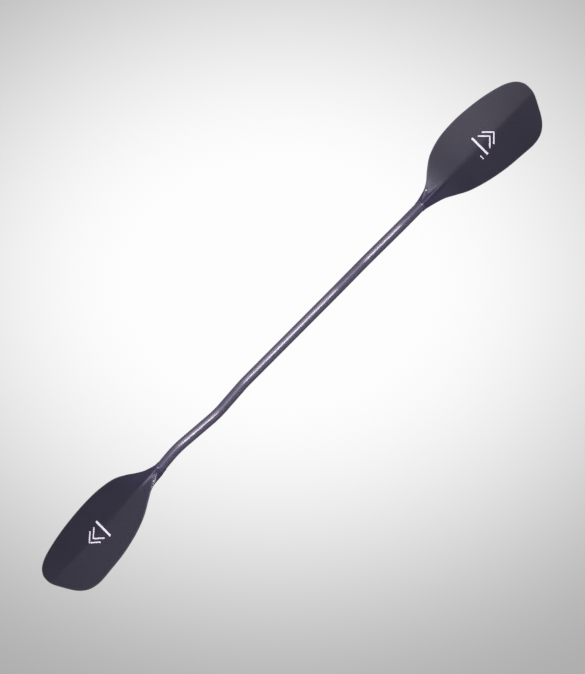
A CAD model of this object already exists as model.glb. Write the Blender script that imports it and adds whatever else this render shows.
"""Looks of the bent-shaft kayak paddle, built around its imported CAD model.

Lengths in the shape code are millimetres. Lights, camera and floor are in metres.
"""

import math

import bpy
import numpy as np
from mathutils import Matrix, Vector


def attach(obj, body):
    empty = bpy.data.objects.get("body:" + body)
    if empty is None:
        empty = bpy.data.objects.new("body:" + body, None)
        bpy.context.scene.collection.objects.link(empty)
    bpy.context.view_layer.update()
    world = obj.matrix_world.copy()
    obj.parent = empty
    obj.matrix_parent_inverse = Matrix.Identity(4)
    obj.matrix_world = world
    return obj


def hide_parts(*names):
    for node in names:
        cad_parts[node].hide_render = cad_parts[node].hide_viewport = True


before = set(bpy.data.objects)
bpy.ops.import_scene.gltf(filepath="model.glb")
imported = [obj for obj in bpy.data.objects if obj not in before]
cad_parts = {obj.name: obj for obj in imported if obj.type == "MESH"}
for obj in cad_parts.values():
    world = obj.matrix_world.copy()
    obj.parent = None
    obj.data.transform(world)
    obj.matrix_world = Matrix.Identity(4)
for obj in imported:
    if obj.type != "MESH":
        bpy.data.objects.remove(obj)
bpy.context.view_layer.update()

MM = 0.001

# ---- Sizes, as in the CAD model ---------------------------------------------------------
PADDLE_L = 1944
FEATHER = 30
SHAFT_R = 14.5
SHAFT_WALL = 1.6
BEND_X = (187, 300, 452)
SLOPES = (0, -8.5, 10, -11)
BEND_R = 160
BLADE_L = 445
THROAT_X = PADDLE_L / 2 - BLADE_L
EDGE_T = 3.4
CORE_T = 5
SKIN_T = 0.9
ROPE_W = 3.2
ROPE_FROM = 22
ROPE_GROWS_OVER = 50
COLLAR_L = 14
COLLAR_T = 0.7
COLLAR_LIP = 3
COLLAR_FLAT = 6
SHAFT_DEPTH = 30
BOND_T = 0.3
SOCKET_U = 0.16
REST_ROLL = 9.36
REST_PITCH = 0.43
REST_AT = (0.21, 2.52, 56.56)

OUTLINE = np.array([
    [0, 17.6], [30, 26], [52, 39], [77, 60], [112, 83], [162, 98], [217, 102.5], [272, 100],
    [332, 92], [392, 77], [425, 60], [441, 40], [445, 20], [442, -4], [427, -35.5], [409, -67.5],
    [392, -87], [371, -100], [340, -106], [292, -103], [237, -97.8], [177, -86], [122, -68.8],
    [84, -49], [57, -34], [30, -25], [0, -17.6],
], float)
LAST = len(OUTLINE) - 1
UPPER_CORNER = 10
LOWER_CORNER = 17
RIDGE = [[0, 12.2], [60, 8.5], [100, 3.5], [160, -8], [230, -15.5], [320, -20.5], [445, -26]]
DIHEDRAL = [[0, 5], [330, 5], [445, 2.5]]
DROOP = [[0, 15], [30, 6], [50, 1.2], [75, 0], [445, 0]]
SPINE_H = [[0, 26], [30, 32], [60, 30], [110, 20], [160, 9], [205, 3], [250, 0], [445, 0]]
SPINE_W = [[0, 24], [30, 20], [60, 16], [110, 14], [250, 11], [445, 11]]
STREAK_H = [[0, 2.8], [60, 1.8], [105, 0], [445, 0]]
STREAK_W = 6.5
RIDGE_SOFT = 3

# ---- Fineness of the meshes -------------------------------------------------------------
GRID_ALONG = 181
GRID_ACROSS = 97
RIDGE_CROWDING = 1.35
ROPE_STEPS = 420
ROPE_ARC = 13
BEND_STEPS = 12
STRAIGHT_STEP = 12
SHAFT_ROUND = 72
NECK_ROUND = 96
LIP_STEPS = 5
LIP_FROM = 0.3
FLARE_STEPS = 7
SOCKET_STEPS = 25


# ---- Shape of the blade -----------------------------------------------------------------
def mix(a, b, t):
    return a * (1 - t) + b * t


def ease(t):
    c = np.clip(t, 0, 1)
    return c * c * (3 - 2 * c)


def outline(t):
    t = np.asarray(t, float)
    i = np.clip(np.floor(t).astype(int), 0, LAST - 1)
    f = (t - i)[..., None]
    a, b, c, d = (OUTLINE[np.clip(i + k, 0, LAST)] for k in (-1, 0, 1, 2))
    return 0.5 * (2 * b + (c - a) * f + (2 * a - 5 * b + 4 * c - d) * f**2 + (3 * (b - c) + d - a) * f**3)


def inward(t):
    d = outline(np.minimum(t + 0.05, LAST)) - outline(np.maximum(t - 0.05, 0))
    n = np.stack([d[..., 1], -d[..., 0]], -1)
    return n / np.linalg.norm(n, axis=-1, keepdims=True)


def rope_share(along):
    return ease((along - ROPE_FROM) / ROPE_GROWS_OVER)


def rim_point(t):
    p = outline(t)
    return p + inward(t) * (ROPE_W * rope_share(p[..., 0]))[..., None]


def smooth(x, table):
    k = np.array(table, float)
    xs, ys = k[:, 0], k[:, 1]
    m = np.zeros(len(k))
    m[1:-1] = (ys[2:] - ys[:-2]) / (xs[2:] - xs[:-2])
    i = np.clip(np.searchsorted(xs, x, side="right") - 1, 0, len(k) - 2)
    h = xs[i + 1] - xs[i]
    t = np.clip((x - xs[i]) / h, 0, 1)
    return (
        (2 * t**3 - 3 * t**2 + 1) * ys[i] + (t**3 - 2 * t**2 + t) * m[i] * h
        + (3 * t**2 - 2 * t**3) * ys[i + 1] + (t**3 - t**2) * m[i + 1] * h
    )


def face_z(along, across, full):
    return (
        smooth(along, RIDGE)
        - np.tan(np.radians(smooth(along, DIHEDRAL))) * (np.sqrt(across**2 + RIDGE_SOFT**2) - RIDGE_SOFT)
        - smooth(along, DROOP) * (1 - full)
        + smooth(along, STREAK_H) * np.exp(-((across / STREAK_W) ** 2))
    )


def rim_t(along):
    return mix(2 * SKIN_T, EDGE_T, rope_share(along))


def blade_t(along, across, full):
    spine = smooth(along, SPINE_H) / (1 + (across / smooth(along, SPINE_W)) ** 4)
    return rim_t(along) + full * (CORE_T + spine)


def grid_point(u, v):
    """Point of the blade's outline grid: u from throat to tip, v across."""
    w = ((v + 1) / 2)[..., None]
    k = u[..., None]
    zero, one = np.zeros_like(u), np.ones_like(u)

    def low(s):
        return rim_point(LAST - (LAST - LOWER_CORNER) * s)

    def high(s):
        return rim_point(UPPER_CORNER * s)

    throat = mix(low(zero), high(zero), w)
    across = mix(low(u), high(u), w)
    along = mix(throat, rim_point(mix(LOWER_CORNER, UPPER_CORNER, w[..., 0])), k)
    both = mix(throat, mix(low(one), high(one), w), k)
    return across + along - both


def sheet(us, vs, depth, lift):
    """Rows of points on the blade, and how far each is along and across it."""
    u, v = np.meshgrid(us, vs, indexing="ij")
    p = grid_point(u, v)
    full = np.sqrt(np.maximum(0, 1 - v**2) * np.maximum(0, 1 - u**6))
    z = face_z(p[..., 0], p[..., 1], full) - depth * blade_t(p[..., 0], p[..., 1], full) + lift
    return np.stack([THROAT_X + p[..., 0], p[..., 1], z], -1), p


# ---- Placing ----------------------------------------------------------------------------
def turn_x(angle):
    c, s = math.cos(math.radians(angle)), math.sin(math.radians(angle))
    return np.array([[1, 0, 0], [0, c, -s], [0, s, c]])


def turn_y(angle):
    c, s = math.cos(math.radians(angle)), math.sin(math.radians(angle))
    return np.array([[c, 0, s], [0, 1, 0], [-s, 0, c]])


REST = turn_y(REST_PITCH) @ turn_x(REST_ROLL)
HALF = {"right": np.eye(3), "left": turn_x(-FEATHER) @ np.diag([-1, 1, 1])}


def place(side, points):
    return points @ (REST @ HALF[side]).T + REST_AT


# ---- Meshes -----------------------------------------------------------------------------
def mesh_piece(name, points, faces, uv, material, flip=False):
    """Object from points in mm in the resting frame; uv gives each point's place on the cloth, in mm."""
    if flip:
        faces = [f[::-1] for f in faces]
    me = bpy.data.meshes.new(name)
    me.from_pydata((points * MM).tolist(), [], faces)
    layer = me.uv_layers.new(name="cloth")
    corner = np.empty(len(me.loops), np.int32)
    me.loops.foreach_get("vertex_index", corner)
    layer.data.foreach_set("uv", (uv[corner] * MM).astype(np.float32).ravel())
    me.polygons.foreach_set("use_smooth", [True] * len(me.polygons))
    me.materials.append(material)
    me.validate()
    me.update()
    ob = bpy.data.objects.new(name, me)
    bpy.context.collection.objects.link(ob)
    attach(ob, "root")
    return ob


def sharpen(ob, degrees):
    """Keeps edges steeper than this crisp."""
    ob.data.set_sharp_from_angle(angle=math.radians(degrees))


def between(top, bottom, cloth):
    """Closed solid between two sheets of points."""
    rows, cols = top.shape[:2]
    half = rows * cols
    i, j = np.meshgrid(np.arange(rows - 1), np.arange(cols - 1), indexing="ij")
    a = (i * cols + j).ravel()
    quads = np.stack([a, a + 1, a + cols + 1, a + cols], -1)
    loop = np.concatenate([
        np.arange(cols), np.arange(1, rows) * cols + cols - 1,
        rows * cols - 1 - np.arange(1, cols), (rows - 1 - np.arange(1, rows - 1)) * cols,
    ])
    after = np.roll(loop, -1)
    walls = np.stack([after, loop, loop + half, after + half], -1)
    faces = np.concatenate([quads[:, ::-1], quads + half, walls[:, ::-1]])
    points = np.concatenate([top.reshape(-1, 3), bottom.reshape(-1, 3)])
    flat = cloth.reshape(-1, 2)
    return points, faces.tolist(), np.concatenate([flat, flat])


def tube(rings, uvs, caps=True):
    """Skin through rings of points; caps closes its two ends."""
    count, n = rings.shape[:2]
    i, j = np.meshgrid(np.arange(count - 1), np.arange(n), indexing="ij")
    a, b = (i * n + j).ravel(), (i * n + (j + 1) % n).ravel()
    faces = np.stack([a, b, b + n, a + n], -1).tolist()
    points, flat = rings.reshape(-1, 3), uvs.reshape(-1, 2)
    if caps:
        for first, outward in ((0, False), (count - 1, True)):
            base = first * n
            middle = len(points)
            points = np.vstack([points, rings[first].mean(0)])
            flat = np.vstack([flat, uvs[first].mean(0)])
            for k in range(n):
                f = [base + k, base + (k + 1) % n, middle]
                faces.append(f if outward else f[::-1])
    return points, faces, flat


# ---- Materials --------------------------------------------------------------------------
NOISE_ROUGHNESS = 0.55
BLADE_LIGHT = (0.024, 0.021, 0.042)
BLADE_DARK = (0.006, 0.0052, 0.0115)
BLADE_TOW = 3.8
NECK_GLOSS_L = 95
SHAFT_DARK = (0.044, 0.039, 0.063)
SHAFT_LIGHT = (0.078, 0.069, 0.11)
SHAFT_CLOUD = (0.028, 0.025, 0.04)
SHAFT_TOW = 3.2
HOOP_PITCH = 4.6
HOOP_SKEW = 0.12


class Nodes:
    """Small helper that builds a material's node tree."""

    def __init__(self, name):
        self.mat = bpy.data.materials.new(name)
        self.mat.use_nodes = True
        self.tree = self.mat.node_tree
        self.bsdf = self.tree.nodes["Principled BSDF"]

    def node(self, kind, **settings):
        n = self.tree.nodes.new(kind)
        for k, v in settings.items():
            setattr(n, k, v)
        return n

    def put(self, value, socket):
        if isinstance(value, bpy.types.NodeSocket):
            self.tree.links.new(value, socket)
        else:
            socket.default_value = value

    def math(self, op, a, b=None, c=None):
        n = self.node("ShaderNodeMath", operation=op)
        for value, socket in zip((a, b, c), n.inputs):
            if value is not None:
                self.put(value, socket)
        return n.outputs[0]

    def blend(self, t, a, b):
        n = self.node("ShaderNodeMix", data_type="RGBA")
        self.put(t, n.inputs["Factor"])
        for value, socket in ((a, n.inputs[6]), (b, n.inputs[7])):
            self.put((*value, 1) if isinstance(value, tuple) else value, socket)
        return n.outputs[2]

    def ramp(self, value, low, high):
        n = self.node("ShaderNodeMapRange", clamp=True)
        self.put(value, n.inputs["Value"])
        n.inputs["To Min"].default_value = low
        n.inputs["To Max"].default_value = high
        return n.outputs["Result"]

    def cloth(self):
        """Place on the cloth, in mm, along and across."""
        uv = self.node("ShaderNodeUVMap", uv_map="cloth")
        split = self.node("ShaderNodeSeparateXYZ")
        self.put(uv.outputs["UV"], split.inputs[0])
        return [self.math("MULTIPLY", split.outputs[k], 1000.0) for k in (0, 1)]

    def noise(self, scale, detail):
        n = self.node("ShaderNodeTexNoise", noise_dimensions="3D")
        self.put(self.node("ShaderNodeTexCoord").outputs["Object"], n.inputs["Vector"])
        n.inputs["Scale"].default_value = scale
        n.inputs["Detail"].default_value = detail
        n.inputs["Roughness"].default_value = NOISE_ROUGHNESS
        return n.outputs["Fac"]

    def bump(self, height, strength, distance, under=None):
        n = self.node("ShaderNodeBump")
        self.put(height, n.inputs["Height"])
        n.inputs["Strength"].default_value = strength
        n.inputs["Distance"].default_value = distance
        if under is not None:
            self.put(under, n.inputs["Normal"])
        return n.outputs["Normal"]

    def set(self, **values):
        for k, v in values.items():
            socket = self.bsdf.inputs[k.replace("_", " ")]
            self.put((*v, 1) if isinstance(v, tuple) and len(v) == 3 else v, socket)
        return self.mat


def weave(m, along, across, tow, repeat):
    """Weave of flat tows: which way the top tow runs (1 along, 0 across), and its height.

    A repeat of 2 gives a plain weave and 4 a twill.
    """
    a = m.math("DIVIDE", along, tow)
    b = m.math("DIVIDE", across, tow)
    cell = m.math("ADD", m.math("FLOOR", a), m.math("FLOOR", b))
    top = m.math("LESS_THAN", m.math("FLOORED_MODULO", m.math("ADD", cell, 0.25), repeat), repeat / 2)

    def crown(x):
        c = m.math("SUBTRACT", m.math("MULTIPLY", m.math("FRACT", x), 2.0), 1.0)
        return m.math("SUBTRACT", 1.0, m.math("MULTIPLY", c, c))

    rise = m.math("ADD", m.math("MULTIPLY", top, crown(b)),
                  m.math("MULTIPLY", m.math("SUBTRACT", 1.0, top), crown(a)))
    return top, rise


def blade_carbon(name, light, dark, roughness, neck_roughness):
    """Woven blade skin, which gets glossier where it wraps the neck."""
    m = Nodes(name)
    along, across = m.cloth()
    neck = m.ramp(m.math("DIVIDE", along, NECK_GLOSS_L), 1.0, 0.0)
    top, rise = weave(m, along, across, BLADE_TOW, 2.0)
    tone = m.math("ADD", m.math("MULTIPLY", top, 0.6), m.math("MULTIPLY", rise, 0.4))
    cloud = m.noise(7.0, 4.0)
    colour = m.blend(tone, dark, light)
    colour = m.blend(m.ramp(cloud, 0.0, 0.32), colour, tuple(c * 0.55 for c in dark))
    colour = m.blend(m.math("MULTIPLY", neck, 0.5), colour, tuple(c * 2.1 for c in light))
    scuffs = m.noise(160.0, 2.0)
    rough = m.ramp(scuffs, roughness - 0.02, roughness + 0.12)
    rough = m.math("ADD", rough, m.math("MULTIPLY", top, -0.12))
    rough = m.math("ADD", rough, m.math("MULTIPLY", neck, neck_roughness - roughness))
    normal = m.bump(rise, 0.3, 0.0001, m.bump(cloud, 0.12, 0.0008))
    return m.set(Base_Color=colour, Roughness=rough, Normal=normal, Specular_IOR_Level=0.5)


def shaft_carbon(name):
    """Clear-coated tube, with fine tows on the slant under hoop-like grooves."""
    m = Nodes(name)
    along, around = m.cloth()
    skewed = m.math("ADD", along, m.math("MULTIPLY", around, HOOP_SKEW))
    hoop = m.math("FRACT", m.math("DIVIDE", skewed, HOOP_PITCH))
    crest = m.math("SUBTRACT", hoop, 0.5)
    groove = m.math("SUBTRACT", 1.0, m.math("MULTIPLY", m.math("MULTIPLY", crest, crest), 4.0))
    slant, other_slant = m.math("ADD", along, around), m.math("SUBTRACT", along, around)
    _, rise = weave(m, slant, other_slant, SHAFT_TOW, 4.0)
    tone = m.math("ADD", m.math("MULTIPLY", groove, 0.55), m.math("MULTIPLY", rise, 0.45))
    cloud = m.noise(9.0, 4.0)
    colour = m.blend(tone, SHAFT_DARK, SHAFT_LIGHT)
    colour = m.blend(m.ramp(cloud, 0.0, 0.28), colour, SHAFT_CLOUD)
    rough = m.ramp(m.noise(120.0, 2.0), 0.38, 0.48)
    normal = m.bump(groove, 0.09, 0.00008, m.bump(rise, 0.06, 0.00006))
    return m.set(Base_Color=colour, Roughness=rough, Normal=normal, Specular_IOR_Level=0.3,
                 Coat_Weight=1.0, Coat_Roughness=0.26)


def grainy(name, light, dark, roughness, scale, height):
    """Plain moulded or foamed stuff with a fine grain."""
    m = Nodes(name)
    fine, cloud = m.noise(scale, 4.0), m.noise(scale * 0.06, 3.0)
    colour = m.blend(m.math("MULTIPLY_ADD", fine, 0.6, m.math("MULTIPLY", cloud, 0.4)), dark, light)
    return m.set(Base_Color=colour, Roughness=m.ramp(fine, roughness - 0.08, roughness + 0.08),
                 Normal=m.bump(fine, 0.3, height))


power_look = blade_carbon("power_face_carbon", BLADE_LIGHT, BLADE_DARK, 0.42, 0.17)
back_look = blade_carbon("back_face_carbon", BLADE_LIGHT, BLADE_DARK, 0.4, 0.22)
neck_look = blade_carbon("neck_carbon", (0.04, 0.036, 0.062), (0.018, 0.016, 0.028), 0.26, 0.26)
shaft_look = shaft_carbon("shaft_carbon")
rope_look = grainy("edge_rope_resin", (0.045, 0.04, 0.058), (0.018, 0.016, 0.024), 0.42, 900.0, 0.00006)
foam_look = grainy("core_foam", (0.78, 0.72, 0.5), (0.58, 0.52, 0.34), 0.9, 1400.0, 0.0002)
epoxy_look = grainy("cured_epoxy", (0.55, 0.44, 0.2), (0.38, 0.29, 0.12), 0.3, 300.0, 0.00004)
print_look = grainy("pale_print", (0.84, 0.82, 0.88), (0.6, 0.58, 0.66), 0.5, 1600.0, 0.00003)
pin_look = grainy("pin_plastic", (0.6, 0.56, 0.63), (0.48, 0.45, 0.52), 0.4, 500.0, 0.00003)


# ---- Blades -----------------------------------------------------------------------------
us = np.linspace(0, 1, GRID_ALONG)
even = np.linspace(-1, 1, GRID_ACROSS)
# The columns of the grid crowd towards the middle of the blade.
vs = np.sign(even) * np.abs(even) ** RIDGE_CROWDING


def blade_skin(side, word, depth, look):
    """Laminate on one face of a blade; depth is 0 at the power face and 1 at the back face."""
    high, cloth = sheet(us, vs, depth, depth * SKIN_T)
    low, _ = sheet(us, vs, depth, (depth - 1) * SKIN_T)
    points, faces, uv = between(place(side, high), place(side, low), cloth)
    skin = mesh_piece(f"{side}_{word}_face", points, faces, uv, look, side == "left")
    sharpen(skin, 50)
    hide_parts(f"{side}_{word}_skin")


def edge_rope(side):
    """Half-round bead along the rim, which widens from the throat outward."""
    t = np.linspace(1, LAST - 1, ROPE_STEPS)
    p = rim_point(t)
    width = ROPE_W * rope_share(outline(t)[:, 0])
    h = rim_t(p[:, 0]) / 2
    z = face_z(p[:, 0], p[:, 1], np.zeros_like(t)) - h
    a = np.radians(np.linspace(90, -90, ROPE_ARC))
    out = -inward(t)[:, None, :] * (width[:, None] * np.cos(a))[..., None]
    rings = np.concatenate([
        THROAT_X + p[:, None, :1] + out[..., :1], p[:, None, 1:] + out[..., 1:],
        (z[:, None] + h[:, None] * np.sin(a))[..., None]], -1)
    girth = np.cumsum(np.r_[0, np.linalg.norm(np.diff(p, axis=0), axis=1)])
    uv = np.stack(np.broadcast_arrays(girth[:, None], np.arange(float(ROPE_ARC))[None, :]), -1)
    points, faces, uv = tube(place(side, rings), uv)
    rope = mesh_piece(f"{side}_edge", points, faces, uv, rope_look, side == "left")
    sharpen(rope, 60)
    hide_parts(f"{side}_edge_rope")


for side in ("right", "left"):
    blade_skin(side, "power", 0, power_look)
    blade_skin(side, "back", 1, back_look)
    edge_rope(side)


# ---- Shaft ------------------------------------------------------------------------------
def direction(slope):
    return np.array([math.cos(math.radians(slope)), 0, math.sin(math.radians(slope))])


CORNERS = [np.zeros(3)]
for x, slope in zip((*BEND_X, THROAT_X + SHAFT_DEPTH), SLOPES):
    last = CORNERS[-1]
    CORNERS.append(np.array([x, 0, last[2] + (x - last[0]) * math.tan(math.radians(slope))]))


def centre_line():
    """One half's centre line, from the middle of the paddle outward."""
    line = [np.zeros(3)]

    def straight_to(p):
        n = max(1, round(np.linalg.norm(p - line[-1]) / STRAIGHT_STEP))
        line.extend(mix(line[-1], p, k / n) for k in range(1, n + 1))

    for i in range(3):
        a, b = SLOPES[i], SLOPES[i + 1]
        start = CORNERS[i + 1] - BEND_R * math.tan(math.radians(abs(b - a)) / 2) * direction(a)
        straight_to(start)
        s = np.sign(b - a)
        line.extend(start + s * BEND_R * (direction(a + 90) - direction(mix(a, b, k / BEND_STEPS) + 90))
                    for k in range(1, BEND_STEPS + 1))
    straight_to(CORNERS[4])
    return np.array(line)


half_line = centre_line()
line = np.vstack([place("left", half_line)[::-1], place("right", half_line)[1:]])
steps = np.gradient(line, axis=0)
steps /= np.linalg.norm(steps, axis=1, keepdims=True)
side_dir = [np.cross(steps[0], [0, 0, 1.0])]
for d in steps[1:]:
    n = side_dir[-1] - d * np.dot(side_dir[-1], d)
    side_dir.append(n / np.linalg.norm(n))
# Dividing by the first direction's length makes the drawn tube about 1.5 % fatter than the CAD tube.
side_dir = np.array(side_dir) / np.linalg.norm(side_dir[0])
up_dir = np.cross(side_dir, steps)
angle = 2 * math.pi * np.arange(SHAFT_ROUND) / SHAFT_ROUND
length = np.cumsum(np.r_[0, np.linalg.norm(np.diff(line, axis=0), axis=1)])


def shaft_ring(i, r):
    return line[i] + r * (np.cos(angle)[:, None] * side_dir[i] + np.sin(angle)[:, None] * up_dir[i])


inner_r = SHAFT_R - SHAFT_WALL
# The rings run out along the outside of the wall and back along the bore, to the first ring again.
route = [(i, SHAFT_R) for i in range(len(line))] + [(i, inner_r) for i in reversed(range(len(line)))]
route.append(route[0])
rings = np.array([shaft_ring(i, r) for i, r in route])
uv = np.array([np.stack([np.full(SHAFT_ROUND, length[i]), angle * SHAFT_R], -1) for i, _ in route])
points, faces, flat = tube(rings, uv, caps=False)
shaft = mesh_piece("shaft", points, faces, flat, shaft_look, flip=True)
sharpen(shaft, 50)
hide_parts("shaft_tube")


# ---- Necks ------------------------------------------------------------------------------
def outer_axis(x):
    return CORNERS[3] + (x - CORNERS[3][0]) / math.cos(math.radians(SLOPES[3])) * direction(SLOPES[3])


turn = 2 * math.pi * np.arange(NECK_ROUND) / NECK_ROUND


def neck_ring(x, r):
    return (outer_axis(x) - r * np.cos(turn)[:, None] * np.array([0, 1, 0])
            + r * np.sin(turn)[:, None] * direction(SLOPES[3] + 90))


def neck_section(u):
    v = -np.cos(2 * math.pi * np.arange(NECK_ROUND // 2 + 1) / NECK_ROUND)
    top, _ = sheet(np.array([u]), v, 0, -SKIN_T)
    bottom, _ = sheet(np.array([u]), v, 1, SKIN_T)
    return np.vstack([top[0], bottom[0][NECK_ROUND // 2 - 1:0:-1]])


collar_x = THROAT_X - COLLAR_L
bore = SHAFT_R + BOND_T
flat_end, throat_ring = neck_ring(collar_x + COLLAR_FLAT, bore + 2 * COLLAR_T), neck_section(0.0)
rings = [neck_ring(collar_x + SHAFT_DEPTH + COLLAR_L, bore), neck_ring(collar_x, bore),
         neck_ring(collar_x, bore + COLLAR_T)]
rings += [neck_ring(collar_x + COLLAR_LIP * (1 - math.cos(k)), bore + COLLAR_T * (1 + math.sin(k)))
          for k in np.linspace(LIP_FROM, math.pi / 2, LIP_STEPS)]
rings += [mix(flat_end, throat_ring, k) for k in np.linspace(0, 1, FLARE_STEPS)]
rings += [neck_section(u) for u in np.linspace(0, SOCKET_U, SOCKET_STEPS)[1:]]
rings = np.array(rings)
uv = np.stack([rings[..., 0] - THROAT_X, np.broadcast_to(turn * bore, rings.shape[:2])], -1)
for side in ("right", "left"):
    points, faces, flat = tube(place(side, rings), uv)
    neck = mesh_piece(f"{side}_neck", points, faces, flat, neck_look, side == "left")
    sharpen(neck, 40)
    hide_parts(f"{side}_neck_socket")

# These pieces are the CAD's own meshes, and only get a material.
for node, look in (
    ("shaft_plug", foam_look), ("foam_core", foam_look), ("bond_sleeve", epoxy_look),
    ("emblem", print_look), ("bar_mark", print_look), ("small_mark", print_look), ("throat_pin", pin_look),
):
    for side in ("right", "left"):
        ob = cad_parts.get(f"{side}_{node}")
        if ob is not None:
            ob.data.materials.clear()
            ob.data.materials.append(look)

# ---- Camera -----------------------------------------------------------------------------
# The view looks nearly straight down on the power faces, turned so that the shaft climbs to the right.
VIEW_LEAN = 3
VIEW = Matrix((turn_y(REST_PITCH) @ turn_x(REST_ROLL - VIEW_LEAN)).tolist())
SHAFT_CLIMB = math.radians(45.1)
DISTANCE = 40.0
FRAME_H = 1.898
SENSOR_W = 36
SHIFT_RIGHT = 0.0053
SHIFT_DOWN = 0.0016
x_dir, y_dir, back_dir = (VIEW @ Vector(v) for v in ((1, 0, 0), (0, 1, 0), (0, 0, 1)))
image_right = x_dir * math.cos(SHAFT_CLIMB) - y_dir * math.sin(SHAFT_CLIMB)
image_up = x_dir * math.sin(SHAFT_CLIMB) + y_dir * math.cos(SHAFT_CLIMB)
target = Vector(REST_AT) * MM + image_right * SHIFT_RIGHT - image_up * SHIFT_DOWN

cam_data = bpy.data.cameras.new("camera")
cam = bpy.data.objects.new("camera", cam_data)
bpy.context.collection.objects.link(cam)
cam_data.sensor_width = SENSOR_W
cam_data.lens = SENSOR_W * DISTANCE / FRAME_H
cam.matrix_world = Matrix.Translation(target + back_dir * DISTANCE) @ Matrix(
    (image_right, image_up, back_dir)).transposed().to_4x4()
bpy.context.scene.camera = cam


# ---- Floor and light --------------------------------------------------------------------
def area(name, at, aim, size, power, colour=(1, 1, 1)):
    """Soft light at a place given along the paddle, across it and towards the viewer, in metres."""
    data = bpy.data.lights.new(name, "AREA")
    data.shape = "RECTANGLE"
    data.size, data.size_y = size
    data.energy = power
    data.color = colour
    ob = bpy.data.objects.new(name, data)
    bpy.context.collection.objects.link(ob)
    at, aim = (x_dir * p[0] + y_dir * p[1] + back_dir * p[2] for p in (at, aim))
    away = (at - aim).normalized()
    across = x_dir - away * x_dir.dot(away)
    across.normalize()
    facing = Matrix((across, away.cross(across), away)).transposed().to_4x4()
    ob.matrix_world = Matrix.Translation(at) @ facing
    ob.visible_camera = False
    return ob


# The key and the band are aimed at the middle, the strips at the outer shaft and each fill at one blade.
area("key", (0.0, 0.19, 1.3), (0, 0, 0), (0.5, 0.46), 19.0, (1.0, 0.93, 0.98))
area("band", (0.0, 1.0, 1.2), (0, 0, 0), (0.8, 1.1), 9.0, (0.95, 0.92, 1.0))
for way in (-1, 1):
    area("strip", (0.75 * way, 0.28, 1.3), (0.5 * way, 0, 0), (0.4, 0.4), 2.6, (0.92, 0.9, 1.0))
area("right_fill", (1.5, 0.5, 1.3), (0.75, 0, 0), (0.5, 0.5), 4.2, (0.94, 0.88, 1.0))
area("left_fill", (-1.5, 1.3, 1.3), (-0.75, 0, 0), (0.5, 0.5), 1.9, (0.9, 0.88, 1.0))

FLOOR_HALF = 40
corners = [(x * FLOOR_HALF, y * FLOOR_HALF, 0) for x, y in ((-1, -1), (1, -1), (1, 1), (-1, 1))]
floor_mesh = bpy.data.meshes.new("floor")
floor_mesh.from_pydata(corners, [], [(0, 1, 2, 3)])
floor = bpy.data.objects.new("floor", floor_mesh)
bpy.context.collection.objects.link(floor)

# The floor glows white under the paddle and fades to grey, a little above and left of the middle.
GLOW_UP = 0.16
GLOW_LEFT = 0.04
GLOW_WIDER = 1.25
GLOW_FULL_TO = 0.3
GLOW_GONE_AT = 1.35
GLOW_GREY = (0.42, 0.42, 0.425)
GLOW_WHITE = (0.98, 0.98, 0.985)
pale = Nodes("pale_floor")
glow_axes = pale.node("ShaderNodeMapping", vector_type="TEXTURE")
glow_at = image_up * GLOW_UP - image_right * GLOW_LEFT
glow_axes.inputs["Location"].default_value = (glow_at.x, glow_at.y, 0)
glow_axes.inputs["Rotation"].default_value = (0, 0, -SHAFT_CLIMB)
glow_axes.inputs["Scale"].default_value = (GLOW_WIDER, 1, 1)
pale.put(pale.node("ShaderNodeTexCoord").outputs["Object"], glow_axes.inputs["Vector"])
spot = pale.node("ShaderNodeVectorMath", operation="LENGTH")
pale.put(glow_axes.outputs["Vector"], spot.inputs[0])
fade = pale.node("ShaderNodeMapRange", interpolation_type="SMOOTHSTEP")
pale.put(spot.outputs["Value"], fade.inputs["Value"])
fade.inputs["From Min"].default_value = GLOW_FULL_TO
fade.inputs["From Max"].default_value = GLOW_GONE_AT
fade.inputs["To Min"].default_value = 1.0
fade.inputs["To Max"].default_value = 0.0
shade = pale.blend(fade.outputs["Result"], GLOW_GREY, GLOW_WHITE)
glow = pale.node("ShaderNodeEmission")
pale.put(shade, glow.inputs["Color"])
pale.put(glow.outputs[0], pale.tree.nodes["Material Output"].inputs["Surface"])
floor_mesh.materials.append(pale.mat)
floor.visible_glossy = False
floor.visible_diffuse = False

world = bpy.data.worlds.new("studio")
world.use_nodes = True
world.node_tree.nodes["Background"].inputs["Color"].default_value = (0.76, 0.73, 0.88, 1)
world.node_tree.nodes["Background"].inputs["Strength"].default_value = 0.28
bpy.context.scene.world = world
bpy.context.scene.view_settings.view_transform = "Standard"
